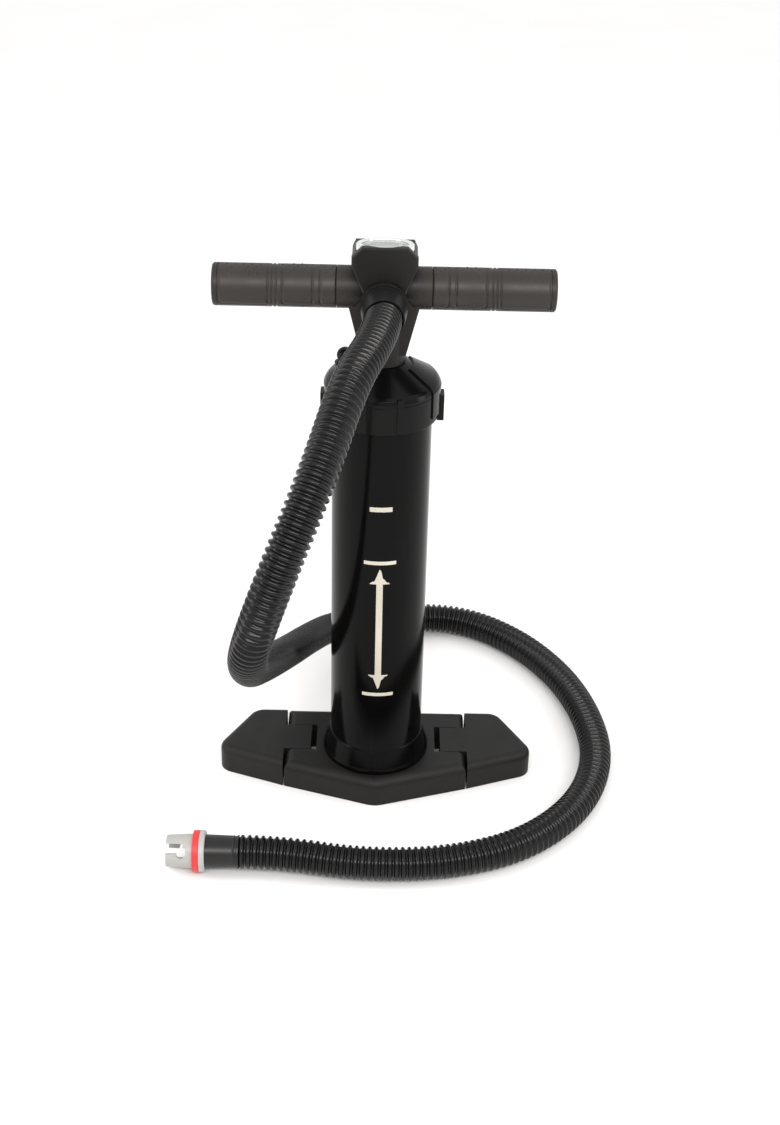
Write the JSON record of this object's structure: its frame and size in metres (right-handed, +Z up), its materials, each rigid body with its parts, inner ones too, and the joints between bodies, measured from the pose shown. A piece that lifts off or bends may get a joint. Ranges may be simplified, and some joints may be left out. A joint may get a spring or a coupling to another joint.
{
  "type": "double action hand pump",
  "caption": "Upright double action inflation pump with folding feet, a T handle with a pressure gauge, and a corrugated hose with a bayonet valve adapter.",
  "frame": {"origin": "on the floor, at the axis of the pump tube", "axes": "+Z up along the tube, +X along the handle bar, -Y towards the hose port, which is the pump's front"},
  "size_m": [0.461, 0.6062, 0.597],
  "materials": {
    "base_plastic": "fine satin texture",
    "inner_plastic": "moulded",
    "steel": "plated",
    "tube_plastic": "polished",
    "seal_rubber": "satin",
    "cap_plastic": "semi-gloss",
    "rod_metal": "satin anodised",
    "handle_plastic": "matte",
    "grip_rubber": "matte",
    "dial": "printed",
    "needle": "painted",
    "lens": "clear",
    "bezel_metal": "bright",
    "nut_plastic": "semi-gloss",
    "hose_plastic": "semi-gloss",
    "cuff_plastic": "satin",
    "adapter_plastic": "satin",
    "gasket_red": "satin"
  },
  "bodies": {
    "stand": {"base_body": "base_plastic", "base_plate": "inner_plastic", "base_screws": "steel", "hinge_pin_left": "steel", "hinge_pin_right": "steel", "pump_tube": "tube_plastic", "cylinder_floor": "inner_plastic", "floor_oring": "seal_rubber", "bottom_inlet_flap": "seal_rubber", "cap": "cap_plastic", "cap_gasket": "seal_rubber", "rod_bush": "inner_plastic", "rod_seal": "seal_rubber", "top_inlet_flap": "seal_rubber", "hose_lower": "hose_plastic", "hose_cuff": "cuff_plastic"},
    "left_foot": {"left_foot": "base_plastic"},
    "right_foot": {"right_foot": "base_plastic"},
    "plunger": {"rod_outer": "rod_metal", "rod_inner": "rod_metal", "piston_body": "inner_plastic", "piston_seal": "seal_rubber", "piston_retainer": "inner_plastic", "piston_nut": "inner_plastic", "handle_front": "handle_plastic", "handle_rear": "handle_plastic", "handle_screws": "steel", "air_block": "inner_plastic", "outlet_flap": "seal_rubber", "grip_left": "grip_rubber", "grip_right": "grip_rubber", "end_cap_left": "handle_plastic", "end_cap_right": "handle_plastic", "gauge_body": "handle_plastic", "gauge_dial": "dial", "gauge_spindle": "steel", "gauge_lens": "lens", "gauge_bezel": "bezel_metal", "hose_port": "handle_plastic", "port_oring": "seal_rubber", "hose_upper": "hose_plastic"},
    "needle": {"gauge_needle": "needle"},
    "nut": {"hose_nut": "nut_plastic"},
    "mode_plug": {"mode_plug": "cap_plastic", "plug_oring": "seal_rubber"},
    "adapter": {"valve_adapter": "adapter_plastic", "adapter_gasket": "gasket_red"}
  },
  "joints": [
    {"name": "left_foot_fold", "type": "hinge", "parent": "stand", "child": "left_foot", "pos_m": [-0.0865, 0, 0.02], "axis": [0, 1, 0], "range_deg": [0, 90]},
    {"name": "right_foot_fold", "type": "hinge", "parent": "stand", "child": "right_foot", "pos_m": [0.0865, 0, 0.02], "axis": [0, -1, 0], "range_deg": [0, 90]},
    {"name": "pump_stroke", "type": "slide", "parent": "stand", "child": "plunger", "axis": [0, 0, 1], "range_m": [0, 0.36]},
    {"name": "needle_swing", "type": "hinge", "parent": "plunger", "child": "needle", "pos_m": [0, 0.001, 0.592], "axis": [0, -0.1478, -0.989], "range_deg": [0, 270], "stiffness_Nm_per_rad": 0.0001},
    {"name": "hose_nut_turn", "type": "hinge", "parent": "plunger", "child": "nut", "pos_m": [0, -0.05, 0.545], "axis": [0, -1, 0], "range_deg": [0, 45]},
    {"name": "mode_plug_pull", "type": "slide", "parent": "stand", "child": "mode_plug", "axis": [0, 0, 1], "range_m": [0, 0.014]},
    {"name": "adapter_pull", "type": "slide", "parent": "stand", "child": "adapter", "axis": [-1, 0, 0], "range_m": [0, 0.0155]}
  ]
}
